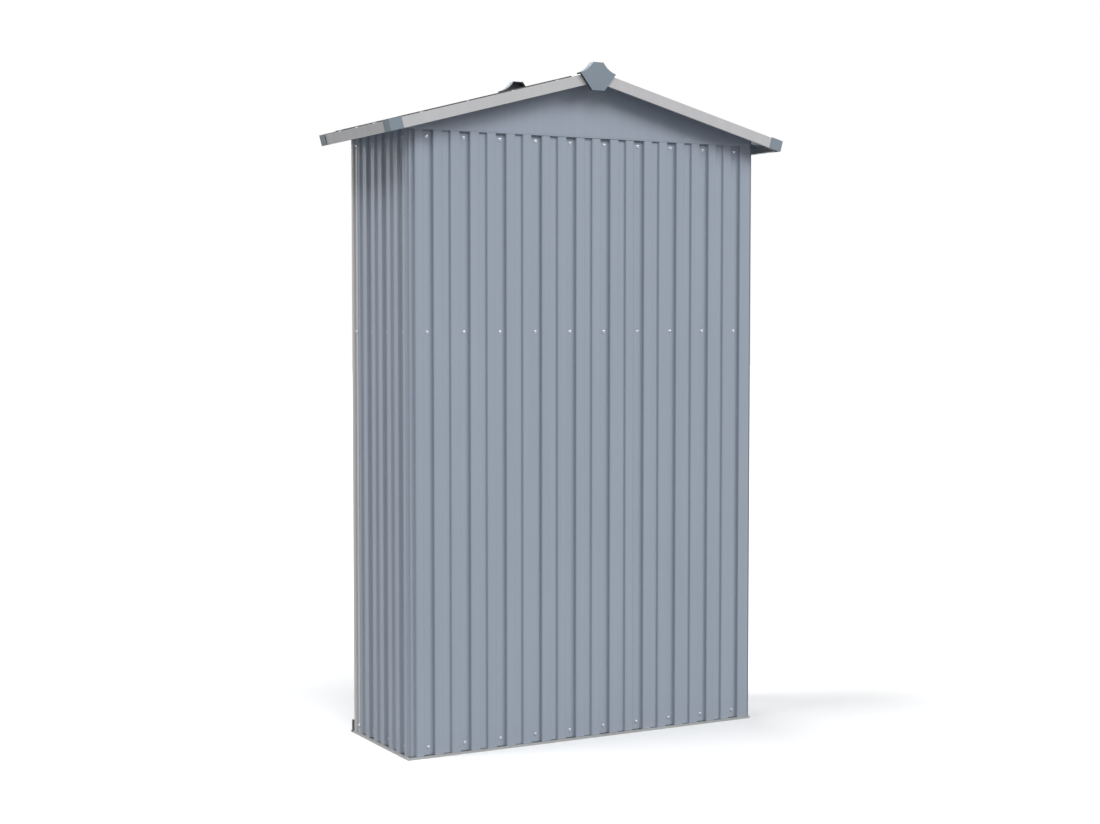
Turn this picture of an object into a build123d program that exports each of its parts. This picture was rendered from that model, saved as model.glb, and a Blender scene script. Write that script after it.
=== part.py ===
from build123d import *
import math
import os

# Sheet-steel garden tool shed with a gable roof and two hinged doors.
# Millimetres, +Z up. The origin is on the ground below the middle of the shed.
# The doors face -Y and right is +X, as seen from in front of the doors.

# Whole shed
DOORWAY = 904.0                 # clear width between the front posts
POST_FACE = 58.5                # width of a front post
POST_INSET = 3.0                # posts and doors behind the face of the base
BASE_DEPTH = 358.6              # over the base rails
EAVE_OVERHANG = 66.5            # corner caps beyond the base, on each side
ROOF_DEPTH = 450.0              # over the corner caps
HEIGHT = 1750.0                 # to the top of the ridge end caps
ROOF_PITCH = 14.85              # degrees

# Metal
SHEET = 0.8                     # ribbed wall, door and roof sheets, gable plates
SECTION = 1.0                   # folded rails, posts, trims and door frames
SEAT_CLEARANCE = 0.3

# Base rails and sill
LIP_HEIGHT = 6.0
RAIL_UPSTAND = 45.0
RAIL_FOOT = 36.0
SILL_PROJECTION = 10.0
SILL_BOX_PROJECTION = 5.0
SILL_HEIGHT = 35.0
ANCHOR_HOLE_RADIUS = 4.5
ANCHOR_INSET = 25.0
ANCHOR_SPACING = 180.0

# Ribs of the wall and door sheets
CREST_INSET = 5.2               # crests of the rear wall behind the face of the base rail
RIB_DEPTH = 8.0
SHALLOW_DEPTH = 5.0
BOLT_VALLEY = 29.0              # opening of a deep valley, which holds the bolts
SHALLOW_VALLEY = 22.5
LAP_VALLEY = 31.0               # opening of the valley where two rear sheets lap
LAP_CLEARANCE = 0.5
FLANK_RUN = 2.5
RIB_BEND = 1.2                  # how far the short flat at a bend reaches to each side
REAR_RIB_PITCH = 101.45
REAR_FIRST_CREST = 26.0
REAR_FIRST_VALLEY = 61.4
REAR_END_MARGIN = 40.0
VALLEYS_PER_SHEET = 3
SIDE_RIB_PITCH = 98.0
SIDE_FIRST_VALLEY = 51.0
CORNER_FLANGE = 34.0
CORNER_STEP = 6.5               # how far the side sheets step in before they turn round the corner
CORNER_LAND = 3.0
CORNER_GAP = 1.0
REAR_RETURN_RUN = 1.0           # from the last crest to the side of the base, where the sheet returns
REAR_HEM = 16.0
DOOR_RIB_PITCH = 98.0

# Front posts
POST_SIDE = 40.0
JAMB_DEPTH = 23.0
POST_BEAD = 17.0                # from the face of the base to the groove on the side of the post
POST_GROOVE = 8.0
POST_GROOVE_WIDTH = 4.0
POST_FLANK_RUN = 2.5
POST_BEND = 1.5                 # how far the short flat at a bend reaches to each side

# Inner rails
RAIL_FLANGE = 22.0
MID_RAIL_Z = 1064.0
MID_RAIL_HEIGHT = 40.0
TOP_RAIL_DROP = 35.0            # lower edge of the top rails below the gable plates
TOP_RAIL_RISE = 5.0
HEADER_RISE = 10.0
HEADER_STOP_INSET = 27.0
HEADER_STOP_LAP = 18.0          # how far the stop hangs behind the doors

# Gables and roof
GABLE_SIDE_HEIGHT = 21.0
GABLE_LAP = 15.0
GABLE_EDGE = 0.3                # thickness of the rear gable plate at its lower edge, rolled thin
GABLE_EDGE_RISE = 6.0
RIDGE_BEAM_HALF_WIDTH = 45.0
RIDGE_BEAM_LEG = 30.0
RIDGE_STRIP_HALF_WIDTH = 60.0
RIDGE_GAP = 0.3
ROOF_RIB_DEPTH = 8.0
ROOF_RIB_PITCH = 110.0
ROOF_RIB_WIDTH = 32.0
ROOF_EDGE_RIB = 18.0
ROOF_FLANK_RUN = 4.0
TRIM_FACE = 27.5
TRIM_TOP_FLANGE = 20.0
TRIM_BOTTOM_FLANGE = 6.0
EDGE_GAP = 0.5

# Plastic caps
CAP_WALL = 1.5
CAP_ON_VERGE = 36.0
CAP_ON_EAVE = 36.0
RIDGE_CAP_RISE = 21.0           # above the apex of the verge trims
RIDGE_CAP_WALL = 2.0
RIDGE_CAP_STANDOFF = 8.0
RIDGE_CAP_REACH = 14.0
RIDGE_CAP_TOP = 30.0            # width of the flat top
RIDGE_CAP_SPAN = 104.0          # width over the tips
RIDGE_CAP_BOTTOM = 36.0
RIDGE_CAP_TIP_DROP = 28.0
RIDGE_CAP_HEIGHT = 71.5
RIDGE_CAP_HOLLOW = 4.5          # how far the upper sides curve in
RIDGE_CAP_WING = 3.0

# Doors
DOOR_DEPTH = 22.0
DOOR_STILE = 35.0
DOOR_RAIL = 35.0
DOOR_BRACE_HEIGHT = 36.0
HINGE_GAP = 2.0
MEETING_GAP = 4.0
DOOR_BOTTOM_GAP = 2.0
DOOR_TOP_GAP = 3.0

# Hinges
HINGE_HEIGHT = 60.0
HINGE_INSET = 150.0             # middle of an end hinge from the door's end
HINGE_KNUCKLE_RADIUS = 4.0
HINGE_PIN_RADIUS = 2.0
HINGE_PIN_CLEARANCE = 0.05
HINGE_LEAF_WIDTH = 24.0
HINGE_LEAF = 1.5
HINGE_LEAF_GAP = 1.0
HINGE_KNUCKLE_GAP = 0.5
HINGE_HEAD_RADIUS = 3.2
HINGE_HEAD_HEIGHT = 2.0
HINGE_SIDES = 16                # flats round a knuckle, its bore and the head of its pin

# Pull handles and barrel bolt
HANDLE_Z = 980.0
HANDLE_LENGTH = 120.0
HANDLE_REACH = 28.0
HANDLE_WIDTH = 14.0
HANDLE_THICKNESS = 10.0
HANDLE_EDGE = 2.0               # chamfer along the bow
HANDLE_BEND = 12.0
HANDLE_FOOT_WIDTH = 20.0
HANDLE_FOOT_HEIGHT = 22.0
HANDLE_FOOT = 2.5
HANDLE_FOOT_TAPER = 35.0        # degrees
LATCH_Z = 850.0
LATCH_PLATE = 1.5
LATCH_PLATE_HEIGHT = 34.0
LATCH_PLATE_MARGIN = 4.0
LATCH_GUIDE_WIDTH = 8.0
LATCH_GUIDE_DEPTH = 13.0
LATCH_GUIDE_HEIGHT = 18.0
LATCH_GUIDE_SPACING = 54.0
LATCH_EDGE = 6.0                # first guide from the door's meeting edge
LATCH_BOLT_RADIUS = 4.0
LATCH_BOLT_LENGTH = 85.0
LATCH_BOLT_SETBACK = 3.0
LATCH_CLEARANCE = 0.08
LATCH_KNOB_RADIUS = 3.0
LATCH_KNOB_REACH = 16.0
LATCH_KNOB_PLACE = 50.0         # along the bolt from its tip
KEEPER_WIDTH = 12.0
KEEPER_EDGE = 10.0
KEEPER_CLEARANCE = 0.5

# Bolt heads
BOLT_HEAD_RADIUS = 4.5
BOLT_HEAD_HEIGHT = 2.6
BOLT_HEAD_TAPER = 25.0          # degrees
BOLT_HEAD_SIDES = 10
BOTTOM_ROW_Z = 25.0
TOP_ROW_DROP = 15.0
POST_BOLT_INSET = 7.0

# Places that follow from the sizes above
BASE_WIDTH = DOORWAY + 2 * (POST_FACE + POST_INSET)
ROOF_WIDTH = BASE_WIDTH + 2 * EAVE_OVERHANG
HALF_WIDTH = BASE_WIDTH / 2
HALF_DEPTH = BASE_DEPTH / 2
PITCH = math.radians(ROOF_PITCH)
INNER_CREST_INSET = CREST_INSET + SHEET
VALLEY_INSET = CREST_INSET + RIB_DEPTH
RAIL_INSET = VALLEY_INSET + 2 * SHEET
TRIM_APEX = HEIGHT - RIDGE_CAP_RISE
ROOF_STACK = SECTION + ROOF_RIB_DEPTH + SHEET
ROOF_UNDER_APEX = TRIM_APEX - ROOF_STACK / math.cos(PITCH)
VERGE_FACE = ROOF_DEPTH / 2 - CAP_WALL
EAVE_FACE = (ROOF_WIDTH / 2 - CAP_WALL * math.sin(PITCH)) / math.cos(PITCH) - CAP_WALL
DOOR_FACE = HALF_DEPTH - POST_INSET


def roof_under(x):
    """Height of the flat underside of the roof above a place x."""
    return ROOF_UNDER_APEX - abs(x) * math.tan(PITCH)


WALL_TOP = roof_under(HALF_WIDTH - INNER_CREST_INSET) - SEAT_CLEARANCE
GABLE_BOTTOM = WALL_TOP - GABLE_SIDE_HEIGHT
DOOR_LOW = SILL_HEIGHT + DOOR_BOTTOM_GAP
DOOR_HIGH = GABLE_BOTTOM - DOOR_TOP_GAP
BOLT_ROWS = (BOTTOM_ROW_Z, MID_RAIL_Z, GABLE_BOTTOM - TOP_ROW_DROP)


def folded(points, thickness):
    """Outline of bent sheet whose outer face follows the points, with the metal on their left."""
    normals = []
    for (u0, v0), (u1, v1) in zip(points, points[1:]):
        length = math.hypot(u1 - u0, v1 - v0)
        normals.append(((v0 - v1) / length, (u1 - u0) / length))
    inner = []
    for index, (u, v) in enumerate(points):
        a = normals[max(index - 1, 0)]
        b = normals[min(index, len(normals) - 1)]
        reach = thickness / (1 + a[0] * b[0] + a[1] * b[1])
        inner.append((u + reach * (a[0] + b[0]), v + reach * (a[1] + b[1])))
    return list(points) + inner[::-1]


def eased(points, cut):
    """The same path with a short flat across each bend."""
    path = [points[0]]
    for before, corner, after in zip(points, points[1:], points[2:]):
        for beside in (before, after):
            share = cut / math.dist(corner, beside)
            path.append(tuple(c + share * (b - c) for c, b in zip(corner, beside)))
    return path + [points[-1]]


def along_x(outline, start, end):
    """Extrude an outline of (y, z) points along X."""
    face = Plane.YZ.offset(start) * make_face(Polyline(*outline, close=True))
    return extrude(face, end - start, dir=(1, 0, 0))


def along_y(outline, start, end):
    """Extrude an outline of (x, z) points along Y."""
    face = Plane.XZ.offset(-start) * make_face(Polyline(*outline, close=True))
    return extrude(face, end - start, dir=(0, 1, 0))


def along_z(outline, start, end):
    """Extrude an outline of (x, y) points along Z."""
    face = Plane.XY.offset(start) * make_face(Polyline(*outline, close=True))
    return extrude(face, end - start, dir=(0, 0, 1))


def block(x0, x1, y0, y1, z0, z1):
    """Box between two corners."""
    return along_z([(x0, y0), (x1, y0), (x1, y1), (x0, y1)], z0, z1)


def cylinder(radius, start, end):
    """Round bar between two points."""
    axis = Vector(*end) - Vector(*start)
    return extrude(Plane(origin=start, z_dir=axis) * Circle(radius), axis.length)


def to_left(shape):
    """The mirror image on the left half of the shed."""
    return mirror(shape, about=Plane.YZ)


def to_front(shape):
    """The mirror image on the front half of the shed."""
    return mirror(shape, about=Plane.XZ)


def save(node, *solids):
    """Write one named piece, or a group of like pieces, to its own file."""
    shape = solids[0] if len(solids) == 1 else Compound(children=list(solids))
    export_step(shape, f"parts/{node}.step")


# Rails round the shed: a section is a list of (inset from the base's face, height) on its outer
# face, with the metal on the right, and the rear corners are mitred.

def rear_rail(section):
    outline = folded([(HALF_DEPTH - inset, z) for inset, z in section], SECTION)
    bar = along_x(outline, -HALF_WIDTH, HALF_WIDTH)
    lowest, highest = min(z for _, z in section), max(z for _, z in section)
    mitre = [(HALF_WIDTH, HALF_DEPTH), (HALF_WIDTH - HALF_DEPTH, 0),
             (HALF_DEPTH - HALF_WIDTH, 0), (-HALF_WIDTH, HALF_DEPTH)]
    return bar & along_z(mitre, lowest - SECTION, highest + SECTION)


def side_rail(section, front_corner):
    """Right-hand rail that ends in a mitre at the rear and at the given points in front."""
    outline = folded([(HALF_WIDTH - inset, z) for inset, z in section], SECTION)
    bar = along_y(outline, -HALF_DEPTH, HALF_DEPTH)
    lowest, highest = min(z for _, z in section), max(z for _, z in section)
    mitre = [(HALF_WIDTH, HALF_DEPTH), (HALF_WIDTH - HALF_DEPTH, 0)] + front_corner
    return bar & along_z(mitre, lowest - SECTION, highest + SECTION)


def base_frame():
    section = [(RAIL_FOOT, 0), (0, 0), (0, LIP_HEIGHT), (RAIL_INSET, LIP_HEIGHT),
               (RAIL_INSET, RAIL_UPSTAND)]
    save("rear_base_rail", rear_rail(section))
    side = side_rail(section, [(HALF_WIDTH, -HALF_DEPTH)])
    for y in (-ANCHOR_SPACING / 2, ANCHOR_SPACING / 2):
        x = HALF_WIDTH - ANCHOR_INSET
        side -= cylinder(ANCHOR_HOLE_RADIUS, (x, y, -SECTION), (x, y, 2 * SECTION))
    save("right_base_rail", side)
    save("left_base_rail", to_left(side))


def front_sill():
    """Threshold: a low ledge in front of the posts with a box that stands against their feet."""
    section = [(RAIL_FOOT, 0), (-SILL_PROJECTION, 0), (-SILL_PROJECTION, LIP_HEIGHT),
               (-SILL_BOX_PROJECTION, LIP_HEIGHT), (-SILL_BOX_PROJECTION, SILL_HEIGHT),
               (POST_INSET, SILL_HEIGHT)]
    outline = folded([(inset - HALF_DEPTH, z) for inset, z in reversed(section)], SECTION)
    bar = along_x(outline, -HALF_WIDTH, HALF_WIDTH)
    nose = -HALF_DEPTH - SILL_PROJECTION
    right = [(HALF_WIDTH, nose), (HALF_WIDTH, -HALF_DEPTH), (HALF_WIDTH - HALF_DEPTH, 0)]
    left = [(-x, y) for x, y in reversed(right)]
    save("front_sill", bar & along_z(right + left, -SECTION, SILL_HEIGHT + SECTION))


# Ribbed sheets: a profile is a list of (place along the wall, depth below the crests).

def valley(centre, opening, depth):
    """The four bends of one valley."""
    half = opening / 2
    return [(centre - half, 0), (centre - half + FLANK_RUN, depth),
            (centre + half - FLANK_RUN, depth), (centre + half, 0)]


def valleys(first, pitch, indices):
    """Deep bolt valleys at the even indices, shallow ones half-way between them."""
    bends = []
    for index in indices:
        deep = index % 2 == 0
        bends += valley(first + index * pitch / 2, BOLT_VALLEY if deep else SHALLOW_VALLEY,
                        RIB_DEPTH if deep else SHALLOW_DEPTH)
    return bends


def lap_valley(index):
    """The two halves of a lapped valley: where one rear sheet ends and where the next starts."""
    bends = valley(REAR_FIRST_VALLEY + index * REAR_RIB_PITCH / 2, LAP_VALLEY, RIB_DEPTH)
    (u0, d0), (u1, d1), (u2, d2), (u3, d3) = bends
    gap = RIB_BEND + LAP_CLEARANCE
    return [(u0, d0), (u1, d1), (u2 - gap, d2)], [(u1 + gap, d1), (u2, d2), (u3, d3)]


def rear_valley_count():
    room = BASE_WIDTH - REAR_FIRST_VALLEY - REAR_END_MARGIN
    return int(room / REAR_RIB_PITCH) + 1


def rear_wall():
    """Three sheets that lap in bolt valleys. The middle one lies a sheet deeper, under the others."""
    first_lap, second_lap = 2 * VALLEYS_PER_SHEET, 4 * VALLEYS_PER_SHEET
    last = 2 * (rear_valley_count() - 1)
    first_end, middle_start = lap_valley(first_lap)
    middle_end, last_start = lap_valley(second_lap)
    corner = INNER_CREST_INSET + CORNER_STEP + CORNER_GAP
    right = [(corner, RIB_DEPTH), (REAR_FIRST_CREST - FLANK_RUN, RIB_DEPTH), (REAR_FIRST_CREST, 0)]
    right += valleys(REAR_FIRST_VALLEY, REAR_RIB_PITCH, range(first_lap)) + first_end
    middle = middle_start + valleys(REAR_FIRST_VALLEY, REAR_RIB_PITCH, range(first_lap + 1, second_lap))
    middle += middle_end
    left = last_start + valleys(REAR_FIRST_VALLEY, REAR_RIB_PITCH, range(second_lap + 1, last + 1))
    left += [(BASE_WIDTH - REAR_RETURN_RUN, 0), (BASE_WIDTH, RIB_DEPTH), (BASE_WIDTH - REAR_HEM, RIB_DEPTH)]
    for node, profile, inset in (("rear_panel_right", right, CREST_INSET),
                                 ("rear_panel_middle", middle, INNER_CREST_INSET),
                                 ("rear_panel_left", left, CREST_INSET)):
        path = [(HALF_WIDTH - u, HALF_DEPTH - inset - depth) for u, depth in profile]
        save(node, along_z(folded(eased(path, RIB_BEND), SHEET), LIP_HEIGHT, GABLE_BOTTOM + GABLE_LAP))


def side_valley_indices():
    room = BASE_DEPTH - POST_SIDE - SIDE_FIRST_VALLEY - BOLT_VALLEY / 2
    return range(int(room / (SIDE_RIB_PITCH / 2)) + 1)


def side_walls():
    """One sheet on each side, turned round the rear corner and lapped by the front post."""
    turn = VALLEY_INSET + SHEET
    lap_end = BASE_DEPTH - POST_BEAD - POST_GROOVE_WIDTH - 3 * POST_FLANK_RUN
    profile = [(turn, CORNER_FLANGE), (turn, CORNER_STEP), (turn + CORNER_LAND, CORNER_STEP),
               (turn + CORNER_LAND + FLANK_RUN, 0)]
    profile += valleys(SIDE_FIRST_VALLEY, SIDE_RIB_PITCH, side_valley_indices()) + [(lap_end, 0)]
    path = [(HALF_WIDTH - INNER_CREST_INSET - depth, HALF_DEPTH - u) for u, depth in profile]
    sheet = along_z(folded(eased(path[::-1], RIB_BEND), SHEET), LIP_HEIGHT, WALL_TOP)
    save("right_side_panel", sheet)
    save("left_side_panel", to_left(sheet))


def front_posts():
    """Folded corner posts with a bead, a groove and a flange on the side that laps over the side sheet."""
    jamb = DOORWAY / 2
    side = HALF_WIDTH - POST_INSET
    lap = HALF_WIDTH - INNER_CREST_INSET + SECTION
    front = -DOOR_FACE
    groove_start = -HALF_DEPTH + POST_BEAD
    groove_end = groove_start + POST_FLANK_RUN + POST_GROOVE_WIDTH
    path = [(jamb, front + JAMB_DEPTH), (jamb, front), (side, front), (side, groove_start),
            (side - POST_GROOVE, groove_start + POST_FLANK_RUN), (side - POST_GROOVE, groove_end),
            (lap, groove_end + POST_FLANK_RUN), (lap, -HALF_DEPTH + POST_SIDE)]
    post = along_z(folded(eased(path, POST_BEND), SECTION), LIP_HEIGHT, GABLE_BOTTOM)
    save("right_front_post", post)
    save("left_front_post", to_left(post))


def inner_rails():
    """Channels and angles that the bolt rows hold against the inside of the walls."""
    inner = RAIL_INSET + RAIL_FLANGE
    low, high = MID_RAIL_Z - MID_RAIL_HEIGHT / 2, MID_RAIL_Z + MID_RAIL_HEIGHT / 2
    middle = [(inner, low), (RAIL_INSET, low), (RAIL_INSET, high), (inner, high)]
    behind_post = SECTION - DOOR_FACE
    square_end = [(HALF_WIDTH - HALF_DEPTH, behind_post), (HALF_WIDTH, behind_post)]
    save("rear_mid_rail", rear_rail(middle))
    save("right_mid_rail", side_rail(middle, square_end))
    save("left_mid_rail", to_left(side_rail(middle, square_end)))

    low, high = GABLE_BOTTOM - TOP_RAIL_DROP, GABLE_BOTTOM + TOP_RAIL_RISE
    save("rear_top_rail", rear_rail([(RAIL_INSET, low), (RAIL_INSET, high), (inner, high)]))
    sloped = [(RAIL_INSET, low), (RAIL_INSET, roof_under(HALF_WIDTH - RAIL_INSET)),
              (inner, roof_under(HALF_WIDTH - inner))]
    save("right_top_rail", side_rail(sloped, square_end))
    save("left_top_rail", to_left(side_rail(sloped, square_end)))


def front_header():
    """Angle over the doorway whose leg hangs behind the doors as their stop."""
    top = GABLE_BOTTOM + HEADER_RISE
    section = [(HEADER_STOP_INSET, DOOR_HIGH - HEADER_STOP_LAP), (HEADER_STOP_INSET, top),
               (POST_INSET + SHEET, top)]
    outline = folded([(inset - HALF_DEPTH, z) for inset, z in reversed(section)], SECTION)
    reach = HALF_WIDTH - RAIL_INSET - SECTION
    save("front_header", along_x(outline, -reach, reach))


def gable(half_width):
    """Outline of a gable plate, up to the underside of the roof."""
    return [(-half_width, GABLE_BOTTOM), (half_width, GABLE_BOTTOM), (half_width, roof_under(half_width)),
            (0, ROOF_UNDER_APEX), (-half_width, roof_under(half_width))]


def gables_and_ridge_beam():
    outside = HALF_DEPTH - CREST_INSET
    inside = SHEET - DOOR_FACE
    rear = along_y(gable(HALF_WIDTH - INNER_CREST_INSET), outside, outside + SHEET)
    thin_z, full_z = GABLE_BOTTOM, GABLE_BOTTOM + GABLE_EDGE_RISE
    rolled_off = [(outside + GABLE_EDGE, thin_z - SHEET), (outside + GABLE_EDGE, thin_z),
                  (outside + SHEET, full_z), (outside + 2 * SHEET, full_z), (outside + 2 * SHEET, thin_z - SHEET)]
    save("rear_gable", rear - along_x(rolled_off, -HALF_WIDTH, HALF_WIDTH))
    save("front_gable", along_y(gable(HALF_WIDTH - POST_INSET), -DOOR_FACE, inside))

    half = RIDGE_BEAM_HALF_WIDTH
    bend = roof_under(half)
    path = [(half, bend - RIDGE_BEAM_LEG), (half, bend), (0, ROOF_UNDER_APEX), (-half, bend),
            (-half, bend - RIDGE_BEAM_LEG)]
    save("ridge_beam", along_y(folded(path, SECTION), inside, outside))


# The right-hand slope is modelled flat: X runs down the slope from the apex of the trims, and Z is
# the height above their top.

def on_slope(shape):
    return Pos(0, 0, TRIM_APEX) * Rot(0, ROOF_PITCH, 0) * shape


def roof_sheets():
    """Ribbed sheets whose crests carry the flanges of the trims and the ridge strip."""
    half = VERGE_FACE - SECTION - EDGE_GAP
    count = round(2 * half / ROOF_RIB_PITCH)
    opening = (2 * half - 2 * ROOF_EDGE_RIB - (count - 1) * ROOF_RIB_WIDTH) / count
    crest, floor = -SECTION, -SECTION - ROOF_RIB_DEPTH
    path = [(-half, crest)]
    for index in range(count):
        start = -half + ROOF_EDGE_RIB + index * (opening + ROOF_RIB_WIDTH)
        path += [(start, crest), (start + ROOF_FLANK_RUN, floor),
                 (start + opening - ROOF_FLANK_RUN, floor), (start + opening, crest)]
    path.append((half, crest))
    upper = (RIDGE_GAP + ROOF_STACK * math.sin(PITCH)) / math.cos(PITCH)
    outline = folded(eased(path[::-1], RIB_BEND), SHEET)
    sheet = on_slope(along_x(outline, upper, EAVE_FACE - SECTION - EDGE_GAP))
    save("right_roof_panel", sheet)
    save("left_roof_panel", to_left(sheet))

    fall = RIDGE_STRIP_HALF_WIDTH * math.tan(PITCH)
    strip = [(RIDGE_STRIP_HALF_WIDTH, TRIM_APEX - fall), (0, TRIM_APEX),
             (-RIDGE_STRIP_HALF_WIDTH, TRIM_APEX - fall)]
    reach = VERGE_FACE - TRIM_TOP_FLANGE
    save("ridge_strip", along_y(folded(strip, SECTION), -reach, reach))


def trim_section(face):
    """Channel that opens inward, given as (distance outward, height)."""
    return [(face - TRIM_BOTTOM_FLANGE, -TRIM_FACE), (face, -TRIM_FACE), (face, 0),
            (face - TRIM_TOP_FLANGE, 0)]


def roof_trims():
    upper = (RIDGE_GAP + TRIM_FACE * math.sin(PITCH)) / math.cos(PITCH)
    verge = on_slope(along_x(folded(trim_section(VERGE_FACE), SECTION), upper, EAVE_FACE))
    save("rear_verge_trim_right", verge)
    save("rear_verge_trim_left", to_left(verge))
    save("front_verge_trim_right", to_front(verge))
    save("front_verge_trim_left", to_left(to_front(verge)))

    reach = VERGE_FACE - max(TRIM_TOP_FLANGE, TRIM_BOTTOM_FLANGE) - EDGE_GAP
    eave = on_slope(along_y(folded(trim_section(EAVE_FACE), SECTION), -reach, reach))
    save("right_eave_trim", eave)
    save("left_eave_trim", to_left(eave))


def corner_caps():
    """Plastic caps over the corners where verge and eave trims meet, open below."""
    s0, s1 = EAVE_FACE + CAP_WALL - CAP_ON_VERGE, EAVE_FACE
    y0, y1 = VERGE_FACE + CAP_WALL - CAP_ON_EAVE, VERGE_FACE
    shell = block(s0, s1 + CAP_WALL, y0, y1 + CAP_WALL, -TRIM_FACE, CAP_WALL)
    shell -= block(s0 - CAP_WALL, s1, y0 - CAP_WALL, y1, -TRIM_FACE - CAP_WALL, 0)
    cap = on_slope(shell)
    save("rear_corner_cap_right", cap)
    save("rear_corner_cap_left", to_left(cap))
    save("front_corner_cap_right", to_front(cap))
    save("front_corner_cap_left", to_left(to_front(cap)))


def ridge_caps():
    """Plastic ends over the ridge: a shallow cup on the trims with wings that reach back over the roof."""
    top, tip, bottom = RIDGE_CAP_TOP / 2, RIDGE_CAP_SPAN / 2, RIDGE_CAP_BOTTOM / 2
    tip_z, bottom_z = HEIGHT - RIDGE_CAP_TIP_DROP, HEIGHT - RIDGE_CAP_HEIGHT
    middle = Vector((top + tip) / 2, (HEIGHT + tip_z) / 2)
    inward = Vector(-RIDGE_CAP_TIP_DROP, top - tip).normalized()
    hollow = middle + inward * RIDGE_CAP_HOLLOW
    right_side = ThreePointArc((top, HEIGHT), (hollow.X, hollow.Y), (tip, tip_z))
    left_side = ThreePointArc((-tip, tip_z), (-hollow.X, hollow.Y), (-top, HEIGHT))
    under = Polyline((tip, tip_z), (bottom, bottom_z), (-bottom, bottom_z), (-tip, tip_z))
    crown = Line((-top, HEIGHT), (top, HEIGHT))
    outline = make_face(Curve() + [right_side, under, left_side, crown])
    inner = offset(outline, -RIDGE_CAP_WALL, kind=Kind.INTERSECTION)
    rim = outline - inner

    def swept(face, start, end):
        return extrude(Plane.XZ.offset(-start) * face, end - start, dir=(0, 1, 0))

    front = VERGE_FACE + RIDGE_CAP_STANDOFF
    cup = swept(outline, VERGE_FACE, front) - swept(inner, VERGE_FACE, front - RIDGE_CAP_WALL)
    wings = swept(rim, VERGE_FACE - RIDGE_CAP_REACH, VERGE_FACE)
    wings &= block(-tip, tip, VERGE_FACE - RIDGE_CAP_REACH, VERGE_FACE, tip_z - RIDGE_CAP_WING, HEIGHT)
    cap = cup + wings
    save("rear_ridge_cap", cap)
    save("front_ridge_cap", to_front(cap))


# The right-hand door, closed: its front is flush with the posts.

DOOR_X0 = MEETING_GAP / 2
DOOR_X1 = DOORWAY / 2 - HINGE_GAP
DOOR_FRONT = -DOOR_FACE
DOOR_BACK = DOOR_FRONT + DOOR_DEPTH


def save_both(piece, shape):
    """Write a piece of the right-hand door and its mirror image on the left-hand door."""
    save(f"right_door_{piece}", shape)
    save(f"left_door_{piece}", to_left(shape))


def door_frame():
    """Channels round the sheet: full-height stiles with the rails between them, and a brace behind."""
    hinge_path = [(DOOR_X1 - DOOR_STILE, DOOR_FRONT), (DOOR_X1, DOOR_FRONT), (DOOR_X1, DOOR_BACK),
                  (DOOR_X1 - DOOR_STILE, DOOR_BACK)]
    save_both("hinge_stile", along_z(folded(hinge_path, SECTION), DOOR_LOW, DOOR_HIGH))
    meeting_path = [(DOOR_X0 + DOOR_STILE, DOOR_BACK), (DOOR_X0, DOOR_BACK), (DOOR_X0, DOOR_FRONT),
                    (DOOR_X0 + DOOR_STILE, DOOR_FRONT)]
    save_both("meeting_stile", along_z(folded(meeting_path, SECTION), DOOR_LOW, DOOR_HIGH))

    x0, x1 = DOOR_X0 + DOOR_STILE, DOOR_X1 - DOOR_STILE
    top_path = [(DOOR_BACK, DOOR_HIGH - DOOR_RAIL), (DOOR_BACK, DOOR_HIGH), (DOOR_FRONT, DOOR_HIGH),
                (DOOR_FRONT, DOOR_HIGH - DOOR_RAIL)]
    save_both("top_rail", along_x(folded(top_path, SECTION), x0, x1))
    bottom_path = [(DOOR_FRONT, DOOR_LOW + DOOR_RAIL), (DOOR_FRONT, DOOR_LOW), (DOOR_BACK, DOOR_LOW),
                   (DOOR_BACK, DOOR_LOW + DOOR_RAIL)]
    save_both("bottom_rail", along_x(folded(bottom_path, SECTION), x0, x1))

    seat = DOOR_FRONT + SECTION + RIB_DEPTH + SHEET
    middle = (DOOR_LOW + DOOR_HIGH) / 2
    low, high = middle - DOOR_BRACE_HEIGHT / 2, middle + DOOR_BRACE_HEIGHT / 2
    brace_path = [(DOOR_BACK - SECTION, high), (seat, high), (seat, low), (DOOR_BACK - SECTION, low)]
    brace = along_x(folded(brace_path, SECTION), DOOR_X0 + SECTION, DOOR_X1 - SECTION)
    save_both("brace", brace)


def door_sheet():
    """Ribbed sheet held by its edges inside the stiles and rails."""
    gap = SECTION + EDGE_GAP
    centre = (DOOR_X0 + DOOR_X1) / 2
    room = (DOOR_X1 - DOOR_X0) / 2 - DOOR_STILE - BOLT_VALLEY
    steps = int(room / (DOOR_RIB_PITCH / 2))
    profile = [(DOOR_X0 + gap, 0)] + valleys(centre, DOOR_RIB_PITCH, range(-steps, steps + 1))
    profile.append((DOOR_X1 - gap, 0))
    path = [(x, DOOR_FRONT + SECTION + depth) for x, depth in profile]
    outline = folded(eased(path, RIB_BEND), SHEET)
    save_both("panel", along_z(outline, DOOR_LOW + gap, DOOR_HIGH - gap))


# Butt hinges on the faces of the post and the hinge stile, with the pin in front of the gap.

HINGE_X = DOORWAY / 2 - HINGE_GAP / 2
HINGE_Y = DOOR_FRONT - HINGE_KNUCKLE_RADIUS
HINGE_HEIGHTS = (DOOR_LOW + HINGE_INSET, (DOOR_LOW + DOOR_HIGH) / 2, DOOR_HIGH - HINGE_INSET)


def hinge_barrel(radius, low, high, across_flats=False):
    """Faceted bar round the pin's axis. Its radius is to the corners, or to the flats for a bore."""
    section = RegularPolygon(radius, HINGE_SIDES, major_radius=not across_flats)
    return extrude(Pos(HINGE_X, HINGE_Y, low) * section, high - low)


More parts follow.
